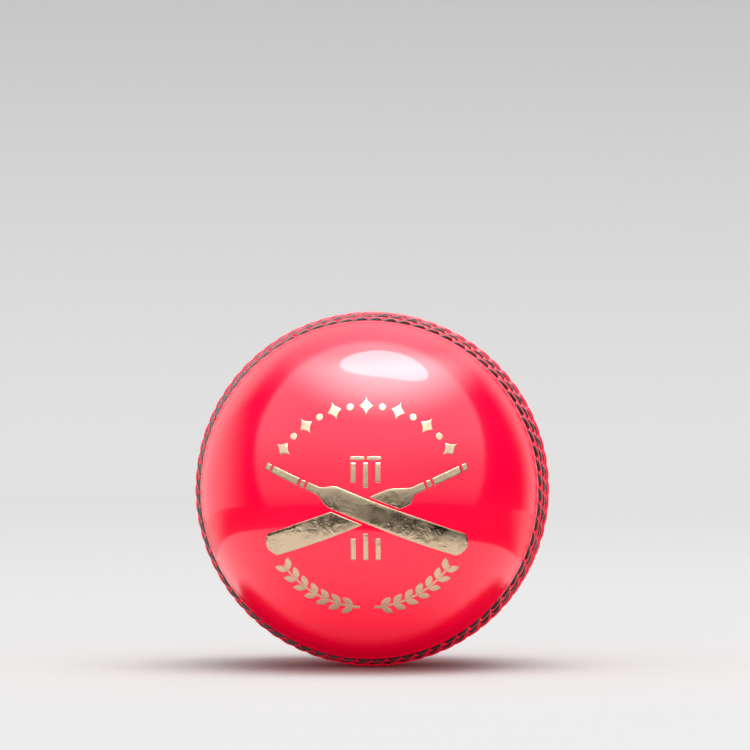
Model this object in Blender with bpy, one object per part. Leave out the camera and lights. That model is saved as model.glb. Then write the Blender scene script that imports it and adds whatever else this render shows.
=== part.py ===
"""A cricket ball as an assembly: core, wool windings, cork strips, leather cups and rows of stitching.

Metres, +Z up. The origin is the centre of the ball. The join between the two cups lies in the XZ plane, so
+Y is the axis that the ball is turned about, and the front cup is the one towards -Y.
"""

import math

import bmesh
import bpy
from mathutils import Vector

# Whole ball
BALL_RADIUS = 0.0358  # over the smooth leather
SEAM_RADIUS = 0.0364  # over the raised lips at the join
LEATHER = 0.0036  # thickness of a cup away from the seam
GAP = 0.0003  # clearance between neighbouring pieces

# Inside, from the middle outwards
CORE_RADIUS = 0.0175
INNER_WINDING = 0.0032
INNER_STRIPS = 0.0020
MIDDLE_WINDING = 0.0030
OUTER_STRIPS = 0.0018
EYE_ANGLE = math.radians(5.0)  # half angle of the eye left open at each end of a winding
STRIPS_IN_LAYER = 6
STRIP_SWEEP = math.radians(56.0)  # each strip's share of the turn; the rest is the gap to the next
STRIP_TIP = math.radians(78.0)  # latitude where a strip is cut off short of its pole

# Stitching, measured along the surface from the join
ROW_POSITIONS = {"primary": 0.0019, "middle": 0.0052, "outer": 0.0085}
STITCHES_IN_ROW = 72
STITCH_REACH = 0.0006  # how far a stitch leans to each side of its row
THREAD_RADIUS = 0.0004
THREAD_CENTRE = 0.03575  # distance of the thread's middle from the centre of the ball

# Groove that a row of stitches lies in
GROOVE_FLOOR = 0.0350  # distance of its floor from the centre of the ball
GROOVE_HALF_MOUTH = 0.00125
GROOVE_HALF_FLOOR = 0.00105
RIDGE_RISE = 0.0002  # how far the leather bulges between two rows

# Fineness
CUP_SEGMENTS = 40
CUP_RINGS = 7
WINDING_SEGMENTS = 24
WINDING_RINGS = 10
STRIP_SEGMENTS = 3
STRIP_RINGS = 8
CORE_SEGMENTS = 24
CORE_RINGS = 12
SMOOTH_ANGLE = math.radians(35.0)
MERGE_DISTANCE = 1e-7


def clear_scene():
    for obj in list(bpy.data.objects):
        bpy.data.objects.remove(obj, do_unlink=True)


def make_material(name, colour, roughness):
    material = bpy.data.materials.new(name)
    material.use_nodes = True
    shader = material.node_tree.nodes["Principled BSDF"]
    shader.inputs["Base Color"].default_value = (*colour, 1.0)
    shader.inputs["Roughness"].default_value = roughness
    shader.inputs["Metallic"].default_value = 0.0
    return material


def make_parent():
    """An empty at the centre that every piece hangs from."""
    parent = bpy.data.objects.new("ball_centre", None)
    bpy.context.scene.collection.objects.link(parent)
    return parent


def add_piece(name, data, material, parent, rotation=(0.0, 0.0, 0.0)):
    obj = bpy.data.objects.new(name, data)
    bpy.context.scene.collection.objects.link(obj)
    obj.rotation_euler = rotation
    obj.parent = parent
    data.materials.append(material)
    return obj


def finished_mesh(bm, name):
    """Merges doubled points, turns the faces outwards and shades the round parts smooth."""
    bmesh.ops.remove_doubles(bm, verts=bm.verts, dist=MERGE_DISTANCE)
    bmesh.ops.recalc_face_normals(bm, faces=bm.faces)
    mesh = bpy.data.meshes.new(name)
    bm.to_mesh(mesh)
    bm.free()
    mesh.shade_smooth()
    mesh.set_sharp_from_angle(angle=SMOOTH_ANGLE)
    return mesh


def polar(radius, latitude):
    """Point of a profile in the XZ plane, with Z as the axis it is turned about."""
    return Vector((radius * math.cos(latitude), 0.0, radius * math.sin(latitude)))


def arc(radius, start, end, steps):
    return [polar(radius, start + (end - start) * i / steps) for i in range(steps + 1)]


def flats_at(radius, turn_step, ring_step):
    """Radius for the corners of a faceted sphere whose flats, not its corners, lie at this radius."""
    return radius / (math.cos(turn_step / 2) * math.cos(ring_step / 2))


def spin_profile(bm, points, closed, sweep, steps):
    """Turns a profile about Z and returns its first and last line of points."""
    first = [bm.verts.new(point) for point in points]
    lines = list(zip(first, first[1:]))
    if closed:
        lines.append((first[-1], first[0]))
    edges = [bm.edges.new(line) for line in lines]
    full_turn = math.isclose(sweep, math.tau)
    result = bmesh.ops.spin(
        bm,
        geom=first + edges,
        cent=(0.0, 0.0, 0.0),
        axis=(0.0, 0.0, 1.0),
        angle=sweep,
        steps=steps,
        use_merge=full_turn,
    )
    last = [item for item in result["geom_last"] if isinstance(item, bmesh.types.BMVert)]
    return first, last


def make_core(material, parent):
    bm = bmesh.new()
    bmesh.ops.create_uvsphere(
        bm, u_segments=CORE_SEGMENTS, v_segments=CORE_RINGS, radius=CORE_RADIUS
    )
    add_piece("cork_rubber_core", finished_mesh(bm, "cork_rubber_core"), material, parent)


def make_winding(name, inside, outside, rotation, material, parent):
    """A layer of wound wool: a shell with a small eye at each end of the axis that it was wound about."""
    reach = math.pi / 2 - EYE_ANGLE
    inner = flats_at(inside, math.tau / WINDING_SEGMENTS, 2 * reach / WINDING_RINGS)
    profile = arc(outside, -reach, reach, WINDING_RINGS) + arc(inner, reach, -reach, WINDING_RINGS)
    bm = bmesh.new()
    spin_profile(bm, profile, True, math.tau, WINDING_SEGMENTS)
    add_piece(name, finished_mesh(bm, name), material, parent, rotation)


def make_strip_mesh(name, inside, outside):
    """One cork strip like a piece of orange peel, with its poles on Z and its middle on +X."""
    inner = flats_at(inside, STRIP_SWEEP / STRIP_SEGMENTS, 2 * STRIP_TIP / STRIP_RINGS)
    profile = arc(outside, -STRIP_TIP, STRIP_TIP, STRIP_RINGS)
    profile += arc(inner, STRIP_TIP, -STRIP_TIP, STRIP_RINGS)
    bm = bmesh.new()
    first, last = spin_profile(bm, profile, True, STRIP_SWEEP, STRIP_SEGMENTS)
    bm.faces.new(first)
    bm.faces.new(reversed(last))
    return finished_mesh(bm, name)


def make_strips(name, inside, outside, tilt, material, parent):
    """A layer of cork strips side by side, each its own piece, with the layer's poles tilted off Z."""
    holder = bpy.data.objects.new(name + "_layer", None)
    bpy.context.scene.collection.objects.link(holder)
    holder.rotation_euler = tilt
    holder.parent = parent
    for index in range(STRIPS_IN_LAYER):
        strip = f"{name}_{index + 1}"
        turn = math.tau * index / STRIPS_IN_LAYER
        mesh = make_strip_mesh(strip, inside, outside)
        add_piece(strip, mesh, material, holder, (0.0, 0.0, turn))


def make_layers(cork, wool, parent):
    """The windings and cork strips, each layer starting one gap outside the last."""
    inside = CORE_RADIUS + GAP
    outside = inside + INNER_WINDING
    make_winding("wool_winding_inner", inside, outside, (0.0, 0.0, 0.0), wool, parent)

    inside = outside + GAP
    outside = inside + INNER_STRIPS
    make_strips("cork_strip_inner", inside, outside, (math.pi / 2, 0.0, 0.0), cork, parent)

    inside = outside + GAP
    outside = inside + MIDDLE_WINDING
    make_winding("wool_winding_middle", inside, outside, (0.0, math.pi / 2, 0.0), wool, parent)

    inside = outside + GAP
    outside = inside + OUTER_STRIPS
    make_strips("cork_strip_outer", inside, outside, (0.0, math.pi / 2, 0.0), cork, parent)

    inside = outside + GAP
    outside = BALL_RADIUS - LEATHER - GAP
    make_winding("wool_winding_outer", inside, outside, (math.pi / 2, 0.0, 0.0), wool, parent)


def groove(position, brim_near, brim_far):
    """The four corners of one groove: two at its mouth, at the given radii, and two on its floor."""
    near_mouth = position - GROOVE_HALF_MOUTH
    near_floor = position - GROOVE_HALF_FLOOR
    far_floor = position + GROOVE_HALF_FLOOR
    far_mouth = position + GROOVE_HALF_MOUTH
    return [
        polar(brim_near, near_mouth / BALL_RADIUS),
        polar(GROOVE_FLOOR, near_floor / BALL_RADIUS),
        polar(GROOVE_FLOOR, far_floor / BALL_RADIUS),
        polar(brim_far, far_mouth / BALL_RADIUS),
    ]


def cup_profile():
    """From the inner pole to the rim, over the lip and the three grooves, to the outer pole."""
    rim = GAP / 2
    inner = flats_at(BALL_RADIUS - LEATHER, math.tau / CUP_SEGMENTS, math.pi / 2 / CUP_RINGS)
    profile = arc(inner, math.pi / 2, math.asin(rim / inner), CUP_RINGS)
    lip_shoulder = SEAM_RADIUS - RIDGE_RISE
    profile.append(Vector((lip_shoulder, 0.0, rim)))
    profile.append(polar(SEAM_RADIUS, 2 * rim / SEAM_RADIUS))

    rows = list(ROW_POSITIONS.values())
    brims = [lip_shoulder] + [BALL_RADIUS] * len(rows)
    for index, position in enumerate(rows):
        profile += groove(position, brims[index], brims[index + 1])
        if index + 1 < len(rows):
            middle = (position + rows[index + 1]) / 2
            profile.append(polar(BALL_RADIUS + RIDGE_RISE, middle / BALL_RADIUS))

    last_mouth = (rows[-1] + GROOVE_HALF_MOUTH) / BALL_RADIUS
    profile += arc(BALL_RADIUS, last_mouth, math.pi / 2, CUP_RINGS)[1:]
    for pole in (profile[0], profile[-1]):
        pole.x = 0.0
    return profile


def make_cup(name, rotation, material, parent):
    bm = bmesh.new()
    spin_profile(bm, cup_profile(), False, math.tau, CUP_SEGMENTS)
    add_piece(name, finished_mesh(bm, name), material, parent, rotation)


def make_stitch_row(name, position, material, parent):
    """One thread that leans to and fro across its row, all the way round the ball."""
    curve = bpy.data.curves.new(name, "CURVE")
    curve.dimensions = "3D"
    curve.twist_mode = "MINIMUM"
    curve.bevel_depth = THREAD_RADIUS
    curve.bevel_resolution = 0
    spline = curve.splines.new("POLY")
    count = 2 * STITCHES_IN_ROW
    spline.points.add(count - 1)
    for index, point in enumerate(spline.points):
        turn = math.tau * index / count
        lean = STITCH_REACH if index % 2 else -STITCH_REACH
        latitude = (position + lean) / BALL_RADIUS
        across = THREAD_CENTRE * math.cos(latitude)
        place = (across * math.cos(turn), THREAD_CENTRE * math.sin(latitude), across * math.sin(turn))
        point.co = (*place, 1.0)
    spline.use_cyclic_u = True
    add_piece(name, curve, material, parent)


def make_stitching(material, parent):
    for row, position in ROW_POSITIONS.items():
        make_stitch_row(f"{row}_stitch_row_front", -position, material, parent)
        make_stitch_row(f"{row}_stitch_row_back", position, material, parent)


def main():
    clear_scene()
    parent = make_parent()
    leather = make_material("pink_leather", (1.0, 0.02, 0.06), 0.18)
    thread = make_material("black_thread", (0.02, 0.02, 0.025), 0.7)
    wool = make_material("wool_yarn", (0.72, 0.66, 0.55), 0.9)
    cork = make_material("cork", (0.5, 0.31, 0.17), 0.85)
    core = make_material("cork_rubber", (0.24, 0.13, 0.08), 0.75)

    make_core(core, parent)
    make_layers(cork, wool, parent)
    make_cup("leather_cup_front", (math.pi / 2, 0.0, 0.0), leather, parent)
    make_cup("leather_cup_back", (-math.pi / 2, 0.0, 0.0), leather, parent)
    make_stitching(thread, parent)


main()
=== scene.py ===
"""The finish of a two-piece cricket ball, inside and out, and a small studio.

The pieces are the lacquered cups, the twisted stitching, the foil stamp, the granular core, the wound yarn
and the cork strips.

Every length in this file is in metres unless a name or comment says otherwise. The ball's centre is the
origin, the join between the cups lies in the XZ plane and the stamped cup faces -Y.
"""

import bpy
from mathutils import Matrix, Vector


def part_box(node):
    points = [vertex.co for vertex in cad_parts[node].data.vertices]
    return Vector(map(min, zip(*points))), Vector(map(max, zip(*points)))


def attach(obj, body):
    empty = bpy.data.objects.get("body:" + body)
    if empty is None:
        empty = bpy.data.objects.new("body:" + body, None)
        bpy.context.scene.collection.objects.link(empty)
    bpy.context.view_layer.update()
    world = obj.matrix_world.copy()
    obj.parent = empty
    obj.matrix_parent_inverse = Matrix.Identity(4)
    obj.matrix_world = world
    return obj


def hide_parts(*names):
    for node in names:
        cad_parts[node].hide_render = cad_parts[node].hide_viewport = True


bl_info = {
    "name": "Cricket Ball Finisher",
    "version": (1, 0, 0),
    "blender": (4, 5, 0),
    "location": "3D View > Sidebar > Cricket Ball",
    "description": "Makes a two-piece cricket ball's cups, stitching, stamp, core, windings, cork and studio",
    "category": "Add Mesh",
}

import math

import bpy
import numpy as np
from mathutils import Matrix, Vector

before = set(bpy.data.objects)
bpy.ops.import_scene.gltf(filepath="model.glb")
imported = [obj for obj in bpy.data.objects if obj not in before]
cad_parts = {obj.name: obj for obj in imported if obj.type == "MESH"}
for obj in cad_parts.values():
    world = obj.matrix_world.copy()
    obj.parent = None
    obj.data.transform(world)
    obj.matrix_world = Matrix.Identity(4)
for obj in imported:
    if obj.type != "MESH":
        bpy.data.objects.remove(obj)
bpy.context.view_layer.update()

MM = 0.001
SIDES = {"front": -1.0, "back": 1.0}
ROWS = ("primary", "middle", "outer")

# Sizes read from the frame
BALL_RADIUS = -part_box("leather_cup_front")[0].y
SEAM_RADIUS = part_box("leather_cup_front")[1].x


def row_position(row):
    """Distance from the join to the middle of a row of stitches, along the surface of the ball."""
    low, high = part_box(f"{row}_stitch_row_back")
    return BALL_RADIUS * math.asin((low.y + high.y) / 2 / BALL_RADIUS)


ROW_POSITIONS = [row_position(row) for row in ROWS]


# ---------------------------------------------------------------------------------------------------------
# Settings
# ---------------------------------------------------------------------------------------------------------


class CoverSettings(bpy.types.PropertyGroup):
    leather_thickness: bpy.props.FloatProperty(
        name="Leather thickness",
        description="Thickness of a cup away from the seam",
        default=3.6 * MM,
        unit="LENGTH",
    )
    join_gap: bpy.props.FloatProperty(
        name="Join gap",
        description="Width of the dark line where the two cups meet",
        default=0.03 * MM,
        unit="LENGTH",
    )
    groove_depth: bpy.props.FloatProperty(
        name="Groove depth",
        description="How deep each row of stitches pulls the leather in",
        default=0.62 * MM,
        unit="LENGTH",
    )
    pink: bpy.props.FloatVectorProperty(
        name="Pink",
        description="Colour of the dyed leather under its lacquer",
        default=(1.0, 0.0, 0.030),
        subtype="COLOR",
    )
    # Painted light: the dye is fluorescent, but this is a constant glow in every light, which brightens the
    # leather's shaded parts
    glow: bpy.props.FloatVectorProperty(
        name="Glow",
        description="Colour of the weak light that the fluorescent dye gives off",
        default=(0.30, 0.0, 0.013),
        subtype="COLOR",
    )
    # Painted shade: the leather is drawn darker down in the stitch grooves, where shade falls
    groove_shade: bpy.props.FloatVectorProperty(
        name="Groove shade",
        description="Darker colour of the leather down in the stitch grooves",
        default=(0.30, 0.0, 0.03),
        subtype="COLOR",
    )


class StitchSettings(bpy.types.PropertyGroup):
    stitches: bpy.props.IntProperty(
        name="Stitches in a row",
        description="Number of stitches in each of the six rows",
        default=72,
    )
    thread_radius: bpy.props.FloatProperty(
        name="Thread radius",
        description="Radius of the twisted thread",
        default=0.40 * MM,
        unit="LENGTH",
    )
    black: bpy.props.FloatVectorProperty(
        name="Thread colour",
        description="Colour of the waxed thread",
        default=(0.042, 0.038, 0.042),
        subtype="COLOR",
    )


class StampSettings(bpy.types.PropertyGroup):
    shift_right: bpy.props.FloatProperty(
        name="Shift right",
        description="How far the stamp sits to the right of the front cup's middle",
        default=0.9 * MM,
        unit="LENGTH",
    )
    shift_down: bpy.props.FloatProperty(
        name="Shift down",
        description="How far the stamp sits below the front cup's middle",
        default=3.6 * MM,
        unit="LENGTH",
    )
    bat_length: bpy.props.FloatProperty(
        name="Bat length",
        description="Length of each of the crossed bats",
        default=46.5 * MM,
        unit="LENGTH",
    )
    border_radius: bpy.props.FloatProperty(
        name="Border radius",
        description="Radius of the ring of stars and leaves round the bats",
        default=21.6 * MM,
        unit="LENGTH",
    )
    gold: bpy.props.FloatVectorProperty(
        name="Gold",
        description="Colour of the foil",
        default=(0.93, 0.73, 0.49),
        subtype="COLOR",
    )


class CoreSettings(bpy.types.PropertyGroup):
    granules: bpy.props.IntProperty(
        name="Granules",
        description="Number of large cork granules that show on the core",
        default=420,
    )
    granule: bpy.props.FloatVectorProperty(
        name="Granule",
        description="Colour of the core's cork granules",
        default=(0.46, 0.27, 0.14),
        subtype="COLOR",
    )
    rubber: bpy.props.FloatVectorProperty(
        name="Rubber",
        description="Colour of the rubber that binds the granules",
        default=(0.06, 0.04, 0.035),
        subtype="COLOR",
    )


class WindingSettings(bpy.types.PropertyGroup):
    yarn_width: bpy.props.FloatProperty(
        name="Yarn width",
        description="Width of the wool yarn, pulled tight",
        default=1.9 * MM,
        unit="LENGTH",
    )
    bands: bpy.props.IntProperty(
        name="Bands",
        description="Number of bands of side by side yarn that show on a winding",
        default=76,
    )
    yarn: bpy.props.FloatVectorProperty(
        name="Yarn",
        description="Colour of the undyed wool",
        default=(0.52, 0.44, 0.31),
        subtype="COLOR",
    )


class CorkSettings(bpy.types.PropertyGroup):
    strips: bpy.props.IntProperty(
        name="Strips in a layer",
        description="Number of cork strips side by side in each layer",
        default=6,
    )
    cork: bpy.props.FloatVectorProperty(
        name="Cork",
        description="Colour of the cut cork strips",
        default=(0.50, 0.30, 0.16),
        subtype="COLOR",
    )


class StudioSettings(bpy.types.PropertyGroup):
    camera_distance: bpy.props.FloatProperty(
        name="Camera distance",
        description="Distance from the camera to the ball",
        default=1.0,
        unit="LENGTH",
    )
    camera_turn: bpy.props.FloatProperty(
        name="Camera turn",
        description="How far round to the right of the stamped side the camera stands",
        default=math.radians(3.5),
        subtype="ANGLE",
    )
    softbox_size: bpy.props.FloatVectorProperty(
        name="Softbox size",
        description="Width and depth of the oval softbox overhead",
        default=(0.92, 0.54),
        size=2,
        unit="LENGTH",
    )
    softbox_height: bpy.props.FloatProperty(
        name="Softbox height",
        description="Height of the softbox above the ball's middle",
        default=1.20,
        unit="LENGTH",
    )
    softbox_radiance: bpy.props.FloatProperty(
        name="Softbox brightness",
        description="Brightness of the softbox's surface",
        default=4.1,
    )
    floor: bpy.props.FloatVectorProperty(
        name="Floor",
        description="Colour of the plain floor and backdrop",
        default=(0.39, 0.387, 0.387),
        subtype="COLOR",
    )


SETTINGS = {
    "ball_cover": CoverSettings,
    "ball_stitches": StitchSettings,
    "ball_stamp": StampSettings,
    "ball_core": CoreSettings,
    "ball_windings": WindingSettings,
    "ball_cork": CorkSettings,
    "ball_studio": StudioSettings,
}


# ---------------------------------------------------------------------------------------------------------
# Surfaces
# ---------------------------------------------------------------------------------------------------------


def join_rings(first, second):
    """Faces between two rings of point numbers, going from the first ring to the second.

    Rings of the same length are joined by quads. Where one ring has a whole number of times as many points
    as the other, each long edge fans out to the short ones. A ring of one point is a pole.
    """
    if len(first) > len(second):
        return [block[:, ::-1] for block in join_rings(second, first)]
    after_first = np.roll(first, -1)
    after_second = np.roll(second, -1)
    if len(first) == len(second):
        return [np.stack([first, after_first, after_second, second], 1)]
    if len(first) == 1:
        return [np.stack([np.repeat(first, len(second)), after_second, second], 1)]
    ratio = len(second) // len(first)
    steps = np.arange(len(second)).reshape(-1, ratio)
    apex = np.where(np.arange(ratio) < ratio // 2, first[:, None], after_first[:, None])
    fans = np.stack([apex, after_second[steps], second[steps]], 2).reshape(-1, 3)
    middles = np.stack([first, after_first, second[steps[:, ratio // 2]]], 1)
    return [fans, middles]


def loft(rings, closed=False):
    """Skins a list of rings, each an array of points, in the order of the list."""
    counts = [len(ring) for ring in rings]
    starts = np.concatenate([[0], np.cumsum(counts)])
    numbers = [np.arange(start, start + count) for start, count in zip(starts, counts)]
    faces = []
    for first, second in zip(numbers, numbers[1:]):
        faces += join_rings(first, second)
    if closed:
        faces += join_rings(numbers[-1], numbers[0])
    return np.concatenate(rings), faces


def enclosed_volume(points, faces):
    """Volume inside a closed skin: a sixth of each triangle's triple product, and negative if inside out."""
    total = 0.0
    for block in faces:
        for corner in range(1, block.shape[1] - 1):
            a, b, c = (points[block[:, i]] for i in (0, corner, corner + 1))
            total += np.einsum("ij,ij->", a, np.cross(b, c)) / 6
    return total


def outwards(points, faces):
    """The same faces, turned over if the skin was inside out."""
    if enclosed_volume(points, faces) < 0:
        return [block[:, ::-1] for block in faces]
    return faces


def put_in_scene(name, data):
    """A new object in the scene, with this mesh, light or camera."""
    obj = bpy.data.objects.new(name, data)
    bpy.context.scene.collection.objects.link(obj)
    return obj


def add_mesh(name, points, polygons, material):
    """A new smooth-shaded object in the scene."""
    mesh = bpy.data.meshes.new(name)
    mesh.from_pydata(points.tolist(), [], polygons)
    mesh.shade_smooth()
    mesh.materials.append(material)
    return put_in_scene(name, mesh)


def make_object(name, skins, material, marks=None):
    """One object from a list of (points, faces) skins, with named values at its points."""
    points = np.concatenate([skin_points for skin_points, _ in skins])
    polygons = []
    start = 0
    for skin_points, faces in skins:
        for block in outwards(skin_points, faces):
            polygons += (block + start).tolist()
        start += len(skin_points)
    obj = add_mesh(name, points, polygons, material)
    for mark, values in (marks or {}).items():
        attribute = obj.data.attributes.new(mark, "FLOAT", "POINT")
        attribute.data.foreach_set("value", np.asarray(values, np.float32))
    obj.data.validate()
    obj.data.update()
    return obj


def bell(distance, height, width):
    """A smooth bump: this high at no distance, falling away as the square of distance over width."""
    return height * np.exp(-((distance / width) ** 2))


def ease(value, low, high):
    """0 below low, 1 above high and an S-shaped rise between."""
    t = np.clip((value - low) / (high - low), 0.0, 1.0)
    return t * t * (3 - 2 * t)


def unit(vectors):
    """The same directions with length 1."""
    return vectors / np.linalg.norm(vectors, axis=-1, keepdims=True)


# ---------------------------------------------------------------------------------------------------------
# Leather cups
# ---------------------------------------------------------------------------------------------------------

STITCH_REACH = 1.0 * MM  # from the middle of a row to its holes on either side
STITCH_SPAN = 0.86  # share of the pitch from a stitch's near hole to its far hole
COLUMNS_PER_STITCH = 14
HOLE_SEED = 0
SCATTER_ALONG = 0.03  # of the pitch, how far a hole is off its place along the row
SCATTER_ACROSS = 0.05 * MM
LIP_END = 0.6 * MM  # where the finest rings at the join end, along the surface from the join
BAND_START = 0.75 * MM
BAND_EDGE = 11.4 * MM  # where the finely meshed seam band ends
BAND_STEP = 0.2 * MM
CAP_STEP = 1.0 * MM
COLUMN_RATIO = 4  # columns of the seam band to each column of the plain leather
LIP_RINGS = 7
WALL_RINGS = 6
INNER_RINGS = 12
WALL_FOOT = 0.4 * MM  # from the inner dome to the first ring of the wall at the join
WALL_TOP = 0.1 * MM  # from the last ring of that wall to the ball's radius
LIP_FALL = (0.40 * MM, 1.15 * MM)  # where the lip's height starts to fall and where it is gone
DULL_BAND_EDGE = (9.4 * MM, 10.8 * MM)
WAVES_WHOLE = 3 * MM  # distance from the join where the unevenness reaches its whole height
VALLEY_SHARE = 0.42  # of the groove's depth, in the valley along a row
VALLEY_WIDTH = 1.15 * MM
GROOVE_SHARE = 0.52  # of the groove's depth, under each stitch
GROOVE_WIDTH = 0.52 * MM
PUCKER_PLACE = 1.25 * MM  # distance from a stitch to the bulge beside it
EDGE_RIDGE_PLACE = 2.0 * MM  # distance from the outermost row to the bulge beyond it
LIP_ROUNDING = (0.34 * MM, 0.17 * MM)  # height and width of this and the next four
HOLE_DIMPLE = (0.28 * MM, 0.42 * MM)
PUCKER = (0.08 * MM, 0.60 * MM)
RIDGE = (0.10 * MM, 0.7 * MM)
EDGE_RIDGE = (0.10 * MM, 1.0 * MM)
HAND_WAVES = (  # the direction of each wave, its number of waves per metre, its phase and its share
    ((0.62, 0.30, 0.72), 34.0, 0.4, 1.0),
    ((-0.48, 0.71, 0.51), 47.0, 1.9, 1.0),
    ((0.81, -0.22, -0.54), 58.0, 3.1, 0.7),
    ((-0.15, -0.62, 0.77), 71.0, 5.2, 0.4),
    ((0.90, 0.25, 0.36), 104.0, 2.3, 0.2),
    ((0.33, -0.58, 0.74), 133.0, 0.9, 0.15),
)
HAND_WAVE_HEIGHT = 0.016 * MM


def hand_waves(directions):
    """Slow hand-made unevenness of the leather and cork: a sum of plane sine waves over the sphere."""
    height = np.zeros(directions.shape[:-1])
    for heading, per_metre, phase, share in HAND_WAVES:
        along = directions @ unit(np.array(heading)) * BALL_RADIUS
        height += share * np.sin(math.tau * per_metre * along + phase)
    return HAND_WAVE_HEIGHT * height


def row_random(row, side, first_seed):
    """Random numbers that are the same each time for one row on one side."""
    return np.random.default_rng(first_seed + 10 * ROWS.index(row) + int(side > 0))


def stitch_holes(row, side, count):
    """Turn angle and distance from the join of each stitch's two holes, near the join and far from it.

    The holes follow the row at an even pitch, and each is a little off its place, as in work done by hand.
    """
    random = row_random(row, side, HOLE_SEED)
    pitch = math.tau / count
    turns = random.uniform(0, pitch) + pitch * np.arange(count)
    position = ROW_POSITIONS[ROWS.index(row)]
    near = turns + random.normal(0, SCATTER_ALONG, count) * pitch
    far = turns + STITCH_SPAN * pitch + random.normal(0, SCATTER_ALONG, count) * pitch
    near_out = position - STITCH_REACH + random.normal(0, SCATTER_ACROSS, count)
    far_out = position + STITCH_REACH + random.normal(0, SCATTER_ACROSS, count)
    return near, near_out, far, far_out


def stitch_distances(turn, out, holes):
    """Distance of each point of the leather from the nearest stitch, and from that stitch's nearer hole.

    On the unrolled leather a stitch is a straight line from its near hole to its far one. The point's foot
    on that line, held between the two holes, gives the first distance.
    """
    near, near_out, far, far_out = holes
    count = len(near)
    first = np.floor((turn - near[0]) / math.tau * count).astype(int)
    to_stitch = np.full((len(turn), len(out)), 1.0)
    to_hole = to_stitch.copy()
    for neighbour in (-1, 0, 1):
        stitch = (first + neighbour) % count
        along = ((turn - near[stitch] + math.pi) % math.tau - math.pi)[:, None] * BALL_RADIUS
        across = out[None, :] - near_out[stitch][:, None]
        run = ((far - near)[stitch] * BALL_RADIUS)[:, None]
        rise = (far_out - near_out)[stitch][:, None]
        foot = np.clip((along * run + across * rise) / (run**2 + rise**2), 0, 1)
        to_stitch = np.minimum(to_stitch, np.hypot(along - foot * run, across - foot * rise))
        to_hole = np.minimum(to_hole, np.hypot(along, across))
        to_hole = np.minimum(to_hole, np.hypot(along - run, across - rise))
    return to_stitch, to_hole


def ball_directions(turn, out, side):
    """Unit directions to the points at a turn angle and a distance from the join along the surface."""
    turn, latitude = np.broadcast_arrays(turn, out / BALL_RADIUS)
    across = np.cos(latitude)
    return np.stack([across * np.cos(turn), side * np.sin(latitude), across * np.sin(turn)], -1)


def seam_relief(turn, out, side, stitches, depth):
    """Height of the leather over the plain sphere, on a grid of turn angle by distance from the join.

    A rounded lip rises at the join. Each row of stitches presses a valley into the leather, which bulges
    between the rows and between one stitch and the next, and dimples where the thread goes in.
    """
    lip = (SEAM_RADIUS - BALL_RADIUS) * (1 - ease(out, *LIP_FALL)) - bell(out, *LIP_ROUNDING)
    height = np.repeat(lip[None, :], len(turn), 0)
    for row, position in zip(ROWS, ROW_POSITIONS):
        to_stitch, to_hole = stitch_distances(turn, out, stitch_holes(row, side, stitches))
        height -= bell(out - position, VALLEY_SHARE * depth, VALLEY_WIDTH)
        height -= bell(to_stitch, GROOVE_SHARE * depth, GROOVE_WIDTH)
        height -= bell(to_hole, *HOLE_DIMPLE)
        height += bell(to_stitch - PUCKER_PLACE, *PUCKER)
    for first, second in zip(ROW_POSITIONS, ROW_POSITIONS[1:]):
        height += bell(out - (first + second) / 2, *RIDGE)
    return height + bell(out - ROW_POSITIONS[-1] - EDGE_RIDGE_PLACE, *EDGE_RIDGE)


def leather_rings(turns, outs, side, cover, stitches):
    """One ring of points for each distance in outs, lying on the relieved leather, and two marks on them.

    The marks say how deep in a groove each point lies, and how far it belongs to the dull band at the seam.
    """
    height = seam_relief(turns, outs, side, stitches, cover.groove_depth)
    directions = ball_directions(turns[:, None], outs[None, :], side)
    radius = BALL_RADIUS + height + hand_waves(directions) * ease(outs, 0.0, WAVES_WHOLE)
    points = directions * radius[:, :, None]
    groove = np.clip(-height / cover.groove_depth, 0.0, 1.0)
    seam = np.broadcast_to(1 - ease(outs, *DULL_BAND_EDGE), groove.shape)
    return list(points.transpose(1, 0, 2)), groove.T.ravel(), seam.T.ravel()


def turned_rings(turns, radii, heights, side):
    """Rings about the Y axis at these radii and these distances from the join."""
    return [
        np.stack([r * np.cos(turns), np.full_like(turns, side * y), r * np.sin(turns)], 1)
        for r, y in zip(radii, heights)
    ]


def make_cup(side_name, cover, stitches, material):
    """A leather cup: inner pole, inner dome, rim, lip, seam band, plain leather, outer pole."""
    side = SIDES[side_name]
    fine = np.linspace(0, math.tau, stitches * COLUMNS_PER_STITCH, endpoint=False)
    coarse = fine[::COLUMN_RATIO]
    rim = cover.join_gap / 2
    inside = BALL_RADIUS - cover.leather_thickness

    angles = np.linspace(math.pi / 2, math.asin(rim / inside), INNER_RINGS + 1)[1:]
    dome = turned_rings(coarse, inside * np.cos(angles), inside * np.sin(angles), side)
    wall_radii = np.linspace(inside + WALL_FOOT, BALL_RADIUS - WALL_TOP, WALL_RINGS)
    wall = turned_rings(fine, wall_radii, np.full(WALL_RINGS, rim), side)

    lip_outs = np.linspace(rim, LIP_END, LIP_RINGS)
    band_outs = np.append(lip_outs, np.arange(BAND_START, BAND_EDGE, BAND_STEP))
    band, *band_marks = leather_rings(fine, band_outs, side, cover, stitches)
    pole_out = BALL_RADIUS * math.pi / 2
    cap_outs = np.linspace(BAND_EDGE, pole_out, round((pole_out - BAND_EDGE) / CAP_STEP))[:-1]
    cap, *cap_marks = leather_rings(coarse, cap_outs, side, cover, stitches)

    pole = np.array([[0.0, side, 0.0]])
    before = [pole * inside, *dome, *wall]
    rings = [*before, *band, *cap, pole * (BALL_RADIUS + hand_waves(pole))]
    hidden = np.zeros(sum(len(ring) for ring in before))
    marks = {
        mark: np.concatenate([hidden, on_band, on_cap, [0.0]])
        for mark, on_band, on_cap in zip(("groove", "seam"), band_marks, cap_marks)
    }
    return make_object(f"leather_cover_{side_name}", [loft(rings)], material, marks)


# ---------------------------------------------------------------------------------------------------------
# Stitching
# ---------------------------------------------------------------------------------------------------------

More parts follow.
